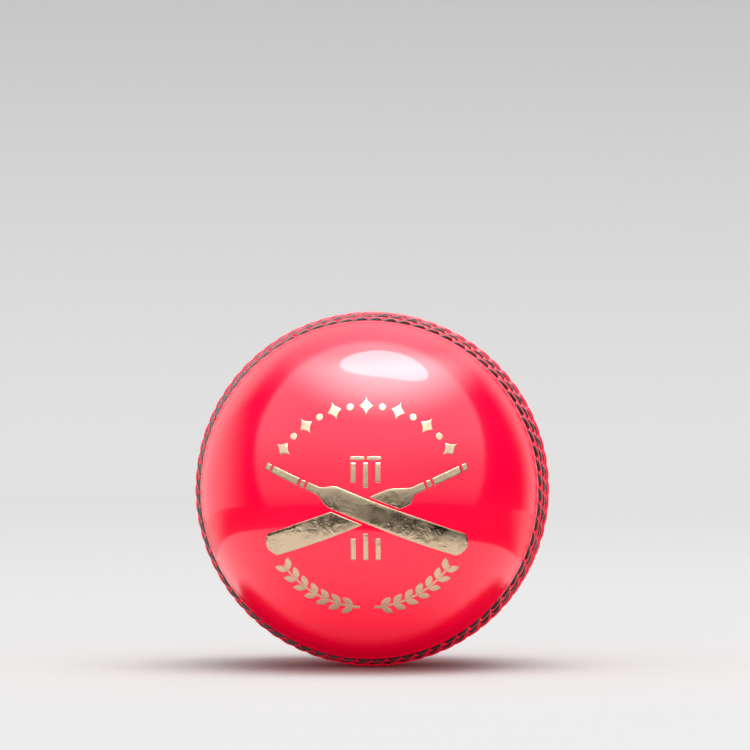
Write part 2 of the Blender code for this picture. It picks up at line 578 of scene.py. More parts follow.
THREAD_STEPS = 26  # points along one stitch and its return under the leather
THREAD_SIDES = 12
THREAD_PLIES = 3
PLY_TURNS = 2  # turns of the twist in one stitch
PLY_BULGE = 0.26  # of the thread's radius
THREAD_SEED = 900
THREAD_TOP = -0.03 * MM  # height of the thread's middle line over the plain ball, at the top of a stitch
TOP_SCATTER = 0.02 * MM
THREAD_IN_HOLE = -0.62 * MM
THREAD_UNDER = -1.25 * MM
ARCH_POWER = 0.7  # below 1, so that a stitch rises steeply from its holes and is flat on top


def on_ball(turn, out, height, side):
    """Points at a turn angle, a distance from the join along the surface and a height over the ball."""
    return ball_directions(turn, out, side) * np.asarray(BALL_RADIUS + height)[..., None]


def thread_path(row, side, count):
    """Middle line of one row's thread, and the sideways direction at each of its points.

    Each stitch arches over the leather from its near hole to its far hole, and goes back underneath to the
    next stitch's near hole: the turn and distance ease from hole to hole along a half cosine, while the
    height follows a half sine, up over the leather and down under it.
    """
    near, near_out, far, far_out = stitch_holes(row, side, count)
    next_near = np.append(near[1:], near[0] + math.tau)
    next_out = np.roll(near_out, -1)
    top = row_random(row, side, THREAD_SEED).normal(THREAD_TOP, TOP_SCATTER, count)[:, None]

    half = THREAD_STEPS // 2
    t = np.arange(half) / half
    slide = ((1 - np.cos(math.pi * t)) / 2)[None, :]
    arch = np.sin(math.pi * t)[None, :]
    over_turn = near[:, None] + (far - near)[:, None] * slide
    over_out = near_out[:, None] + (far_out - near_out)[:, None] * slide
    over_height = THREAD_IN_HOLE + (top - THREAD_IN_HOLE) * arch**ARCH_POWER
    under_turn = far[:, None] + (next_near - far)[:, None] * slide
    under_out = far_out[:, None] + (next_out - far_out)[:, None] * slide
    under_height = np.repeat(THREAD_IN_HOLE + (THREAD_UNDER - THREAD_IN_HOLE) * arch, count, 0)
    turn = np.concatenate([over_turn, under_turn], 1).ravel()
    out = np.concatenate([over_out, under_out], 1).ravel()
    height = np.concatenate([over_height, under_height], 1).ravel()
    path = on_ball(turn, out, height, side)

    over = on_ball(far, far_out, 0, side) - on_ball(near, near_out, 0, side)
    under = on_ball(far, far_out, 0, side) - on_ball(next_near, next_out, 0, side)
    phase = np.arange(THREAD_STEPS) / THREAD_STEPS
    share = ((1 - np.cos(math.tau * (phase - 0.25))) / 2)[None, :, None]
    heading = unit(over)[:, None, :] * (1 - share) + unit(under)[:, None, :] * share
    sideways = np.cross(unit(path), heading.reshape(-1, 3))
    return path, sideways


def make_thread(row, side_name, stitching, material):
    """A row's thread: a ring of points carried along the path, with bulging plies that twist as they go."""
    side = SIDES[side_name]
    path, sideways = thread_path(row, side, stitching.stitches)
    tangent = unit(np.roll(path, -1, 0) - np.roll(path, 1, 0))
    across = unit(sideways - np.einsum("ij,ij->i", sideways, tangent)[:, None] * tangent)
    up = np.cross(tangent, across)
    around = np.arange(THREAD_SIDES) / THREAD_SIDES * math.tau
    twist = np.arange(len(path)) / THREAD_STEPS * PLY_TURNS * math.tau
    lobes = np.abs(np.cos(THREAD_PLIES / 2 * (around[None, :] - twist[:, None])))
    radius = stitching.thread_radius * (1 - PLY_BULGE + PLY_BULGE * lobes)
    ring_x = (radius * np.cos(around))[:, :, None]
    ring_y = (radius * np.sin(around))[:, :, None]
    points = path[:, None, :] + across[:, None, :] * ring_x + up[:, None, :] * ring_y
    name = f"{row}_stitching_{side_name}"
    return make_object(name, [loft(list(points), closed=True)], material, {"ply": lobes.ravel()})


# ---------------------------------------------------------------------------------------------------------
# Foil stamp
# ---------------------------------------------------------------------------------------------------------

FOIL_LIFT = 0.05 * MM
FOIL_ACROSS = np.array([-1.0, -0.93, -0.7, -0.35, 0.0, 0.35, 0.7, 0.93, 1.0, 0.6, 0.0, -0.6])
FOIL_HEIGHT = np.array([-0.3, 0.75, 1.0, 1.0, 1.0, 1.0, 1.0, 0.75, -0.3, -1.2, -1.2, -1.2]) * FOIL_LIFT
FOIL_STEP = 0.45 * MM
FOIL_LEAST_STEPS = 8
FOIL_ROUGH_STEPS = 20  # for measuring how long a strip is
FOIL_LEAST_WIDTH = 0.03 * MM
SMALL_SHARE = 1e-4  # of a strip's length, for finding its heading
BAT_LEAN = math.radians(-22)
BAT_PIECES = ((0.0, 0.025), (0.035, 0.18), (0.19, 0.21), (0.22, 1.0))  # shares of its length
BAT_HANDLE = 0.80 * MM  # half widths of the handle and the blade
BAT_BLADE = 2.35 * MM
BAT_SWELL = 0.25 * MM
BAT_SHOULDER = (0.27, 0.35)  # shares of its length where the handle widens into the blade
BAT_SWELLING = (0.45, 0.8)  # and where the blade swells
BAT_TOE = 1.6 * MM
BAT_AT_CROSSING = 2.4 * MM  # half width of the whole bat where the split one meets it
CROSSING_GAP = 0.45 * MM
STUMP_PLACES = (-2.5 * MM, 0.0, 2.5 * MM)
STUMP_TOP = 9.6 * MM
STUMP_FOOT = -10.2 * MM
STUMP_CLEAR = 4.6 * MM  # half of the gap where the bats hide the middle stump
STUMP_CLEAR_SLOPE = 0.42  # how much that half gap grows for each metre to the side
STUMP_HALF_WIDTH = 0.5 * MM
BAIL_HEIGHT = 10.5 * MM
BAIL_START = 0.2 * MM
BAIL_END = 3.2 * MM
BAIL_HALF_WIDTH = 0.3 * MM
BAIL_SWELL = 0.12 * MM
ARCH_ANGLES = np.radians(np.linspace(145, 35, 13))
BEAD_RADIUS = 0.80 * MM
STAR_REACH = 2.1 * MM
STAR_HALF_WIDTH = 1.6 * MM
STAR_SHARPNESS = 1.9
SPRIG_ANGLES = (4, 55)  # degrees from straight down
STEM_HALF_WIDTH = 0.34 * MM
STEM_TAPER = 0.12 * MM
LEAF_PAIRS = 7
FIRST_LEAF = 0.06  # shares of the stem's length
LEAF_SPACING = 0.14
STEM_STEP = 0.01
LEAF_LEAN = math.radians(38)
LEAF_FOOT = 0.55 * MM  # distances from the stem
LEAF_TIP = 3.35 * MM
LEAF_HALF_WIDTH = 0.80 * MM
LEAF_FULLNESS = 0.8


def on_stamp(flat, height, stamp):
    """Wraps flat stamp points onto the front of the ball, keeping distances from the stamp's middle."""
    distance = np.linalg.norm(flat, axis=-1)
    angle = distance / BALL_RADIUS
    scale = np.sin(angle) / np.maximum(distance, 1e-9)
    local = np.stack([flat[..., 0] * scale, -np.cos(angle), flat[..., 1] * scale], -1)
    lean = Matrix.Rotation(stamp.shift_down / BALL_RADIUS, 3, "X")
    turn = Matrix.Rotation(stamp.shift_right / BALL_RADIUS, 3, "Z")
    directions = local @ np.array(turn @ lean).T
    radius = BALL_RADIUS + height + hand_waves(directions)
    return directions * radius[..., None]


def foil_strip(centre, half_width, stamp, slants=(0.0, 0.0)):
    """A strip of foil: its middle line on the flat stamp and its half width, both as functions of 0 to 1.

    The strip's edges roll down into the leather. slants shear its two ends, for cuts that aren't square.
    """
    rough = centre(np.linspace(0, 1, FOIL_ROUGH_STEPS))
    length = np.linalg.norm(np.diff(rough, axis=0), axis=1).sum()
    even = np.linspace(0, 1, max(FOIL_LEAST_STEPS, round(length / FOIL_STEP)))
    t = (even + (1 - np.cos(math.pi * even)) / 2) / 2
    spread = FOIL_ACROSS[None, :] * np.maximum(half_width(t), FOIL_LEAST_WIDTH)[:, None]
    shear = (slants[0] * (1 - t) + slants[1] * t)[:, None] * spread / length
    where = t[:, None] + shear
    middle = centre(where.ravel()).reshape(*where.shape, 2)
    ahead = centre(where.ravel() + SMALL_SHARE).reshape(*where.shape, 2)
    heading = unit(ahead - middle)
    normal = np.stack([-heading[..., 1], heading[..., 0]], -1)
    flat = middle + normal * spread[..., None]
    points = on_stamp(flat, np.broadcast_to(FOIL_HEIGHT, where.shape), stamp)
    caps = [points[i].mean(0, keepdims=True) for i in (0, -1)]
    return loft([caps[0], *points, caps[1]])


def straight(start, end):
    """A straight middle line."""
    start, end = np.array(start), np.array(end)
    return lambda t: start + (end - start) * t[:, None]


def bat_width(length):
    """Half width of a bat along its length from the top of its handle, from 0 to 1."""

    def half_width(t):
        blade = BAT_BLADE + BAT_SWELL * ease(t, *BAT_SWELLING)
        width = BAT_HANDLE + (blade - BAT_HANDLE) * ease(t, *BAT_SHOULDER)
        return width * np.sqrt(np.clip((1 - t) * length / BAT_TOE, 0, 1))

    return half_width


def part_of(function, low, high):
    """The stretch of a function of 0 to 1 between two shares of its length."""
    return lambda t: function(low + (high - low) * t)


def bat_strips(lean, gap_at_crossing, stamp):
    """Strips of one bat through the stamp's middle: knob, grip and blade, split where the other bat lies."""
    length = stamp.bat_length
    heading = np.array([math.cos(lean), math.sin(lean)])
    line = straight(-heading * length / 2, heading * length / 2)
    width = bat_width(length)
    pieces = [(*ends, (0.0, 0.0)) for ends in BAT_PIECES]
    if gap_at_crossing:
        low, high = BAT_PIECES[-1]
        clear = (BAT_AT_CROSSING + CROSSING_GAP) / abs(math.sin(2 * lean)) / length
        slant = math.copysign(1 / math.tan(2 * abs(lean)), -lean)
        pieces[-1:] = [(low, 0.5 - clear, (0.0, slant)), (0.5 + clear, high, (slant, 0.0))]
    return [
        foil_strip(part_of(line, low, high), part_of(width, low, high), stamp, slants)
        for low, high, slants in pieces
    ]


def wicket_strips(stamp):
    """Three stumps that stand behind the bats, with two bails on top."""
    strips = []
    for place in STUMP_PLACES:
        clear = STUMP_CLEAR + STUMP_CLEAR_SLOPE * abs(place)
        for top, foot in ((STUMP_TOP, clear), (-clear, STUMP_FOOT)):
            line = straight((place, top), (place, foot))
            strips.append(foil_strip(line, lambda t: np.full_like(t, STUMP_HALF_WIDTH), stamp))
    for start, end in ((-BAIL_END, -BAIL_START), (BAIL_START, BAIL_END)):
        line = straight((start, BAIL_HEIGHT), (end, BAIL_HEIGHT))
        strips.append(foil_strip(line, lambda t: BAIL_HALF_WIDTH + BAIL_SWELL * np.sin(math.pi * t), stamp))
    return strips


def at_border(angle, radius):
    """The point at this angle on the ring round the bats."""
    return np.stack([radius * np.cos(angle), radius * np.sin(angle)], -1)


def bead_width(t):
    """Half width of a round bead."""
    return BEAD_RADIUS * np.sqrt(np.clip(1 - (2 * t - 1) ** 2, 0, 1))


def star_width(t):
    """Half width of a star, which narrows from its middle to a point at both ends."""
    return STAR_HALF_WIDTH * np.clip(1 - np.abs(2 * t - 1), 0, 1) ** STAR_SHARPNESS


def leaf_width(t):
    """Half width of a leaf from its foot to its tip."""
    return LEAF_HALF_WIDTH * np.sin(math.pi * t) ** LEAF_FULLNESS


def star_strips(stamp):
    """An arch of four-pointed stars with a bead between each two."""
    strips = []
    for number, angle in enumerate(ARCH_ANGLES):
        middle = at_border(angle, stamp.border_radius)
        reach, half_width = (BEAD_RADIUS, bead_width) if number % 2 else (STAR_REACH, star_width)
        arm = unit(middle) * reach
        strips.append(foil_strip(straight(middle - arm, middle + arm), half_width, stamp))
    return strips


def leaf_strips(stamp):
    """Two laurel sprigs that meet under the bats: a thin stem with a pair of leaves at each step."""
    strips = []
    for hand in (-1, 1):
        first, last = (math.radians(hand * angle - 90) for angle in SPRIG_ANGLES)
        stem = part_of(lambda angle: at_border(angle, stamp.border_radius), first, last)
        strips.append(foil_strip(stem, lambda t: STEM_HALF_WIDTH - STEM_TAPER * t, stamp))
        for pair in range(LEAF_PAIRS):
            root, ahead = stem(FIRST_LEAF + LEAF_SPACING * pair + np.array([0.0, STEM_STEP]))
            tangent = unit(ahead - root)
            normal = np.array([-tangent[1], tangent[0]])
            for lean in (-LEAF_LEAN, LEAF_LEAN):
                heading = tangent * math.cos(lean) + normal * math.sin(lean)
                line = straight(root + heading * LEAF_FOOT, root + heading * LEAF_TIP)
                strips.append(foil_strip(line, leaf_width, stamp))
    return strips


# ---------------------------------------------------------------------------------------------------------
# Core, windings and cork strips
# ---------------------------------------------------------------------------------------------------------

LAYERS = (  # from the middle outwards
    "cork_rubber_core",
    "wool_winding_inner",
    "cork_strip_inner_1",
    "wool_winding_middle",
    "cork_strip_outer_1",
    "wool_winding_outer",
)
LAYER_GAP = 0.3 * MM
MOST_HALVINGS = 4
SURFACE_STEP = 0.47 * MM  # between the points of a wound or granular surface
WALL_STEP = 2.5 * MM  # between the points of a smooth inner wall
YARNS_IN_BAND = 5
YARN_SPACING = 0.9  # of the yarn's width, between neighbours in a band
YARN_RISE = 0.6 * MM  # how far a yarn's middle stands above its edges
YARN_STACK = 1.2 * MM  # how far the last band lies above the first
YARN_SCATTER = 0.1  # of half the yarn's width, how far a yarn is off its place in its band
FIRST_WINDING_SEED = 11
CORE_SEED = 5
GRANULE_SIZES = (1.2 * MM, 2.6 * MM)
GRANULE_RISES = (0.6, 1.0)  # shares of the relief
GRANULE_RELIEF = 0.22 * MM
STRIP_SWEEP = math.radians(56.0)
STRIP_TIP = math.radians(78.0)
STRIP_RINGS = 72
STRIP_UNEVENNESS = 0.06 * MM
STRIP_FLAT = 0.94  # share of a strip's width that is flat
STRIP_FACE_POINTS = 17
STRIP_CORNER_POINTS = 4
STRIP_CORNER_ANGLES = (0.12 * math.pi, 0.5 * math.pi)
STRIP_CORNER_DEPTH = 0.6  # share of half a strip's thickness that a rounded corner takes up
STRIP_TILTS = {  # where each layer puts the X, Y and Z axes of its strips
    "inner": ((1.0, 0.0, 0.0), (0.0, 0.0, 1.0), (0.0, -1.0, 0.0)),
    "outer": ((0.0, 0.0, -1.0), (0.0, 1.0, 0.0), (1.0, 0.0, 0.0)),
}


def layer_radii(node):
    """Inner and outer radius of a CAD node's layer, which starts one gap outside the layer before it."""
    reaches = [0.0] + [max(abs(value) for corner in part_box(name) for value in corner) for name in LAYERS]
    place = LAYERS.index(node)
    return reaches[place] + LAYER_GAP, reaches[place + 1]


def globe_directions(turns, latitudes):
    """Unit directions at these turn angles about the Z axis and these latitudes."""
    across = np.cos(latitudes)
    return np.stack([across * np.cos(turns), across * np.sin(turns), np.sin(latitudes)], -1)


def globe(radius, step):
    """A skin of unit directions for a sphere of this radius, about one step apart.

    Its rings run from pole to pole, with half as many points wherever a ring has shrunk to half.
    """
    rows = round(math.pi * radius / step)
    most = 2**MOST_HALVINGS
    columns = most * round(math.tau * radius / step / most)
    pole = np.array([[0.0, 0.0, -1.0]])
    rings = [pole]
    for latitude in np.linspace(-math.pi / 2, math.pi / 2, rows + 1)[1:-1]:
        halvings = min(int(-math.log2(math.cos(latitude))), MOST_HALVINGS)
        turns = np.linspace(0, math.tau, columns >> halvings, endpoint=False)
        rings.append(globe_directions(turns, np.full_like(turns, latitude)))
    return loft([*rings, -pole])


def hollow(outer, inner):
    """One skin from two that were made alike: the second, inside the first, is turned to face the middle."""
    points = np.concatenate([outer[0], inner[0]])
    return points, outer[1] + [block[:, ::-1] + len(outer[0]) for block in inner[1]]


def granular_surface(directions, radius, count, random):
    """Height of the granules over the rubber, and the tone of the granule at each point.

    A granule with centre c and size s covers the directions d with |d - c| R < s. There it stands as high
    as 1 - (|d - c| R / s) ** 4 of its rise, and where granules overlap the higher one shows.
    """
    centres = unit(random.normal(size=(count, 3)))
    sizes = random.uniform(*GRANULE_SIZES, count)
    rises = random.uniform(*GRANULE_RISES, count)
    tones = random.uniform(0.0, 1.0, count)
    height = np.zeros(len(directions))
    tone = np.full(len(directions), 0.5)
    for centre, size, rise, own_tone in zip(centres, sizes, rises, tones):
        away = np.sqrt(np.maximum(2 - 2 * directions @ centre, 0.0)) * radius / size
        over = rise * (1 - away**4)
        tone = np.where(over > height, own_tone, tone)
        height = np.maximum(over, height)
    return height, tone


def make_core(core, material):
    """The solid core: a sphere with a rise of granules."""
    _, radius = layer_radii("cork_rubber_core")
    directions, faces = globe(radius, SURFACE_STEP)
    random = np.random.default_rng(CORE_SEED)
    height, tone = granular_surface(directions, radius, core.granules, random)
    points = directions * (radius - GRANULE_RELIEF * (1 - height))[:, None]
    return make_object("granular_core", [(points, faces)], material, {"granule": height, "tone": tone})


def wound_surface(directions, radius, winding, random):
    """Height of the topmost yarn at each point, its share of its own full height there, and its tone.

    Each yarn follows a great circle with pole p, so it covers the directions d with |d . p| R under half its
    width w, and there its profile is the square root of 1 - (2 d . p R / w) ** 2. The yarns of a band lie
    side by side, and each band lies a little higher than the one before it.
    """
    half = winding.yarn_width / 2
    poles = unit(random.normal(size=(winding.bands, 3)))
    sideways = unit(np.cross(poles, random.normal(size=(winding.bands, 3))))
    places = np.arange(YARNS_IN_BAND) - (YARNS_IN_BAND - 1) / 2
    leans = places * YARN_SPACING * winding.yarn_width / radius
    bases = np.linspace(0.0, YARN_STACK, winding.bands)
    height = np.zeros(len(directions))
    share = np.zeros(len(directions))
    tone = np.full(len(directions), 0.5)
    for pole, side, base in zip(poles, sideways, bases):
        for lean in leans + random.normal(0.0, YARN_SCATTER, YARNS_IN_BAND) * half / radius:
            off = directions @ (pole * math.cos(lean) + side * math.sin(lean)) * radius / half
            profile = np.sqrt(np.clip(1 - off**2, 0.0, 1.0))
            over = np.where(np.abs(off) < 1, base + YARN_RISE * profile, 0.0)
            topmost = over > height
            height = np.where(topmost, over, height)
            share = np.where(topmost, profile, share)
            tone = np.where(topmost, random.uniform(), tone)
    return height, share, tone


def make_winding(name, winding, seed, material):
    """A hollow ball of wound yarn, with a smooth inner wall."""
    inside, outside = layer_radii(f"wool_winding_{name}")
    directions, faces = globe(outside, SURFACE_STEP)
    height, share, tone = wound_surface(directions, outside, winding, np.random.default_rng(seed))
    points = directions * (outside - YARN_STACK - YARN_RISE + height)[:, None]
    wall, wall_faces = globe(inside, WALL_STEP)
    plain = np.full(len(wall), 0.5)
    marks = {"yarn": np.concatenate([share, plain]), "tone": np.concatenate([tone, plain])}
    skin = hollow((points, faces), (wall * inside, wall_faces))
    return make_object(f"yarn_winding_{name}", [skin], material, marks)


def strip_outline():
    """A long box with rounded corners, as (u, v) from -1 to 1 across the strip and through its thickness.

    Each corner follows a quarter of an ellipse, from just off the flat face to the straight side.
    """
    face = np.linspace(-STRIP_FLAT, STRIP_FLAT, STRIP_FACE_POINTS)
    corner = np.linspace(*STRIP_CORNER_ANGLES, STRIP_CORNER_POINTS)
    corner_u = STRIP_FLAT + (1 - STRIP_FLAT) * np.sin(corner)
    corner_v = 1 - STRIP_CORNER_DEPTH * (1 - np.cos(corner))
    side_u = np.concatenate([corner_u, corner_u[::-1]])
    side_v = np.concatenate([corner_v, -corner_v[::-1]])
    u = np.concatenate([face, side_u, face[::-1], -side_u])
    v = np.concatenate([np.ones_like(face), side_v, -np.ones_like(face), -side_v])
    return u, v


def make_strip(name, index, cork, material):
    """A cork strip like a piece of orange peel.

    Its outline in u and v is carried along the latitude from tip to tip. The turn angle is u times half the
    sweep, and the radius lies v times half the thickness from the strip's middle. Towards a tip, at a share w
    of the way, the width shrinks as the square root of 1 - w ** 24, and the thickness of 1 - w ** 40.
    """
    inside, outside = layer_radii(f"cork_strip_{name}_1")
    middle = (inside + outside) / 2
    u, v = strip_outline()
    way = np.linspace(-1.0, 1.0, STRIP_RINGS + 1)[1:-1, None]
    centre = math.tau * index / cork.strips + STRIP_SWEEP / 2
    turns = centre + STRIP_SWEEP / 2 * u * np.sqrt(1 - way**24)
    latitudes = way * STRIP_TIP + np.zeros_like(turns)
    directions = globe_directions(turns, latitudes)
    half = (outside - inside) / 2 - STRIP_UNEVENNESS + hand_waves(directions)
    radius = middle + v * half * np.sqrt(1 - way**40)
    tips = [middle * globe_directions(centre, end * STRIP_TIP)[None, :] for end in (-1, 1)]
    points, faces = loft([tips[0], *(directions * radius[:, :, None]), tips[1]])
    placed = points @ np.array(STRIP_TILTS[name])
    return make_object(f"cork_segment_{name}_{index + 1}", [(placed, faces)], material)


# ---------------------------------------------------------------------------------------------------------
# Materials
# ---------------------------------------------------------------------------------------------------------


class Nodes:
    """Adds and joins the nodes of one tree."""

    def __init__(self, tree):
        self.tree = tree

    def add(self, kind, inputs=None, **settings):
        """A new node. Values in inputs are set on its sockets, and sockets are joined to them."""
        node = self.tree.nodes.new(kind)
        for name, value in settings.items():
            setattr(node, name, value)
        for name, value in (inputs or {}).items():
            if isinstance(value, bpy.types.NodeSocket):
                self.tree.links.new(value, node.inputs[name])
            else:
                node.inputs[name].default_value = value
        return node

    def place(self):
        """Each point's place in the object's own coordinates."""
        return self.add("ShaderNodeTexCoord").outputs["Object"]

    def attribute(self, name):
        """The value of this name at the mesh's points."""
        return self.add("ShaderNodeAttribute", attribute_name=name).outputs["Fac"]

    def math(self, operation, *values):
        """A sum, product or other operation on these values."""
        return self.add("ShaderNodeMath", dict(enumerate(values)), operation=operation).outputs[0]

    def squares(self, first, second):
        """The sum of the squares of two values."""
        return self.math("ADD", self.math("POWER", first, 2.0), self.math("POWER", second, 2.0))

    def ramp(self, value, low, high, out_low=0.0, out_high=1.0):
        """A smooth change from one level to another while value goes from low to high."""
        inputs = {"Value": value, "From Min": low, "From Max": high, "To Min": out_low, "To Max": out_high}
        return self.add("ShaderNodeMapRange", inputs, interpolation_type="SMOOTHSTEP").outputs[0]

    def blend(self, amount, first, second):
        """A mix of two colours."""
        node = self.add("ShaderNodeMix", {0: amount, 6: first, 7: second}, data_type="RGBA")
        return node.outputs[2]


def new_material(name, **sockets):
    """An empty node material with a Principled shader, whose sockets take these plain values."""
    material = bpy.data.materials.new(name)
    material.use_nodes = True
    tree = material.node_tree
    tree.nodes.clear()
    nodes = Nodes(tree)
    shader = nodes.add("ShaderNodeBsdfPrincipled", {key.replace("_", " "): v for key, v in sockets.items()})
    nodes.add("ShaderNodeOutputMaterial", {"Surface": shader.outputs[0]})
    return material, nodes, shader


def new_group(name, inputs, outputs):
    """An empty shader node group with these float or vector inputs and float outputs."""
    tree = bpy.data.node_groups.new(name, "ShaderNodeTree")
    for socket, (kind, value) in inputs.items():
        made = tree.interface.new_socket(socket, in_out="INPUT", socket_type=kind)
        if value is not None:
            made.default_value = value
    for socket in outputs:
        tree.interface.new_socket(socket, in_out="OUTPUT", socket_type="NodeSocketFloat")
    nodes = Nodes(tree)
    return tree, nodes, nodes.add("NodeGroupInput"), nodes.add("NodeGroupOutput")


def grain_group():
    """Fine pores and slow blotches: Height for a bump and Blotch for a change of colour."""
    if "Grain" in bpy.data.node_groups:
        return bpy.data.node_groups["Grain"]
    inputs = {
        "Vector": ("NodeSocketVector", None),
        "Pores per metre": ("NodeSocketFloat", 1500.0),
        "Blotches per metre": ("NodeSocketFloat", 60.0),
        "Pore share": ("NodeSocketFloat", 0.5),
    }
    tree, nodes, source, target = new_group("Grain", inputs, ("Height", "Blotch"))
    where, pore_scale, blotch_scale, share = (source.outputs[name] for name in inputs)
    fine = nodes.add("ShaderNodeTexNoise", {"Vector": where, "Scale": pore_scale, "Detail": 4.0})
    pores = nodes.add("ShaderNodeTexVoronoi", {"Vector": where, "Scale": pore_scale})
    slow = nodes.add("ShaderNodeTexNoise", {"Vector": where, "Scale": blotch_scale, "Detail": 3.0})
    kept = nodes.math("MULTIPLY", fine.outputs[0], nodes.math("SUBTRACT", 1.0, share))
    pitted = nodes.math("MULTIPLY", nodes.ramp(pores.outputs["Distance"], 0.0, 0.6), share)
    tree.links.new(nodes.math("ADD", kept, pitted), target.inputs["Height"])
    tree.links.new(nodes.ramp(slow.outputs[0], 0.3, 0.7), target.inputs["Blotch"])
    return tree


def grain(nodes, pores, blotches, pore_share):
    """The grain's height and blotches, from a group set to these numbers of pores and blotches per metre."""
    inputs = {
        "Vector": nodes.place(),
        "Pores per metre": pores,
        "Blotches per metre": blotches,
        "Pore share": pore_share,
    }
    node = nodes.add("ShaderNodeGroup", inputs, node_tree=grain_group())
    return node.outputs["Height"], node.outputs["Blotch"]


def tint(colour, share=1.0):
    """A share of a colour, as a shader's socket takes it."""
    return (*(share * channel for channel in colour), 1.0)


def dress(nodes, shader, colour, roughness, height, strength, depth):
    """Joins a colour, a roughness and a bump of this strength and depth to a shader."""
    bump = nodes.add("ShaderNodeBump", {"Height": height, "Strength": strength, "Distance": depth})
    for socket, value in (("Base Color", colour), ("Roughness", roughness), ("Normal", bump.outputs[0])):
        nodes.tree.links.new(value, shader.inputs[socket])


def leather_material(cover):
    """Fluorescent dyed leather under a gloss lacquer, which is thin and dull over the stitched seam.

    The dye is fluorescent, but its glow here is painted light: a constant emission that brightens the
    leather's shaded parts. Down in the stitch grooves the glow is weaker and the colour darker, as painted
    shade.
    """
    material, nodes, shader = new_material(
        "lacquered_pink_leather",
        Specular_IOR_Level=0.35,
        IOR=1.45,
        Coat_Roughness=0.035,
        Coat_IOR=1.6,
        Emission_Strength=1.0,
    )
    height, blotch = grain(nodes, pores=1700.0, blotches=45.0, pore_share=0.6)
    seam = nodes.attribute("seam")
    deep = nodes.ramp(nodes.attribute("groove"), 0.25, 1.0)
    dyed = nodes.blend(blotch, tint(cover.pink, 0.94), tint(cover.pink))
    # Painted shade: the leather's colour goes darker down in the stitch grooves
    groove_shaded = nodes.blend(nodes.math("MULTIPLY", deep, 0.75), dyed, tint(cover.groove_shade))
    # Painted glow: a constant emission over the leather, weaker down in the stitch grooves as painted shade
    glow = nodes.blend(deep, tint(cover.glow), tint(cover.glow, 0.2))
    nodes.tree.links.new(glow, shader.inputs["Emission Color"])
    nodes.tree.links.new(nodes.ramp(seam, 0.0, 1.0, 1.0, 0.35), shader.inputs["Coat Weight"])
    plain = nodes.ramp(blotch, 0.0, 1.0, 0.18, 0.24)
    worn = nodes.math("ADD", nodes.math("MULTIPLY", seam, 0.16), nodes.math("MULTIPLY", deep, 0.25))
    dress(nodes, shader, groove_shaded, nodes.math("ADD", plain, worn), height, strength=0.25, depth=0.02 * MM)
    return material


def thread_material(stitching):
    """Waxed black thread, with painted shade between its plies and a fine fuzz of fibres."""
    material, nodes, shader = new_material("waxed_black_thread", Sheen_Weight=0.15, Sheen_Roughness=0.4)
    height, blotch = grain(nodes, pores=6000.0, blotches=300.0, pore_share=0.2)
    worn = nodes.blend(blotch, tint(stitching.black), tint(stitching.black, 2.6))
    # Painted shade: the thread is drawn darker between its plies
    shaded = nodes.blend(nodes.ramp(nodes.attribute("ply"), 0.0, 0.8), tint(stitching.black, 0.35), worn)
    roughness = nodes.ramp(blotch, 0.0, 1.0, 0.38, 0.60)
    dress(nodes, shader, shaded, roughness, height, strength=0.5, depth=0.04 * MM)
    return material


def foil_material(stamp):
    """Hot-stamped gold foil: a bright metal film, creased and patchy where the leather gave under the die."""
    material, nodes, shader = new_material("gold_foil", Metallic=1.0)
    creased = {"Vector": nodes.place(), "Scale": 260.0, "Detail": 6.0, "Distortion": 1.6}
    creases = nodes.add("ShaderNodeTexNoise", creased).outputs[0]
    height, blotch = grain(nodes, pores=1500.0, blotches=150.0, pore_share=0.4)
    shade = nodes.blend(blotch, tint(stamp.gold, 0.90), tint(stamp.gold))
    roughness = nodes.ramp(blotch, 0.0, 1.0, 0.15, 0.34)
    relief = nodes.math("ADD", creases, nodes.math("MULTIPLY", height, 0.12))
    dress(nodes, shader, shade, roughness, relief, strength=0.55, depth=0.30 * MM)
    return material


def cork_material(strips):
    """Cut cork: tan cells with darker veins."""
    material, nodes, shader = new_material("cut_cork")
    height, blotch = grain(nodes, pores=1400.0, blotches=180.0, pore_share=0.8)
    shade = nodes.blend(blotch, tint(strips.cork, 0.55), tint(strips.cork))
    flecked = nodes.blend(nodes.ramp(height, 0.25, 0.55), tint(strips.cork, 0.35), shade)
    roughness = nodes.ramp(blotch, 0.0, 1.0, 0.75, 0.92)
    dress(nodes, shader, flecked, roughness, height, strength=0.6, depth=0.15 * MM)
    return material


def core_material(core):
    """Cork granules of many sizes bound in dark rubber, each granule in its own tone."""
    material, nodes, shader = new_material("cork_in_rubber")
    crumbs = nodes.add("ShaderNodeTexVoronoi", {"Vector": nodes.place(), "Scale": 1100.0}).outputs["Distance"]
    height, _ = grain(nodes, pores=2400.0, blotches=90.0, pore_share=0.5)
    own = nodes.blend(nodes.attribute("tone"), tint(core.granule, 0.5), tint(core.granule, 1.15))
    crumbed = nodes.blend(nodes.ramp(crumbs, 0.30, 0.45), tint(core.granule, 0.6), tint(core.rubber))
    bound = nodes.ramp(nodes.attribute("granule"), 0.05, 0.35)
    roughness = nodes.ramp(bound, 0.0, 1.0, 0.55, 0.9)
    shade = nodes.blend(bound, crumbed, own)
    dress(nodes, shader, shade, roughness, height, strength=0.6, depth=0.12 * MM)
    return material


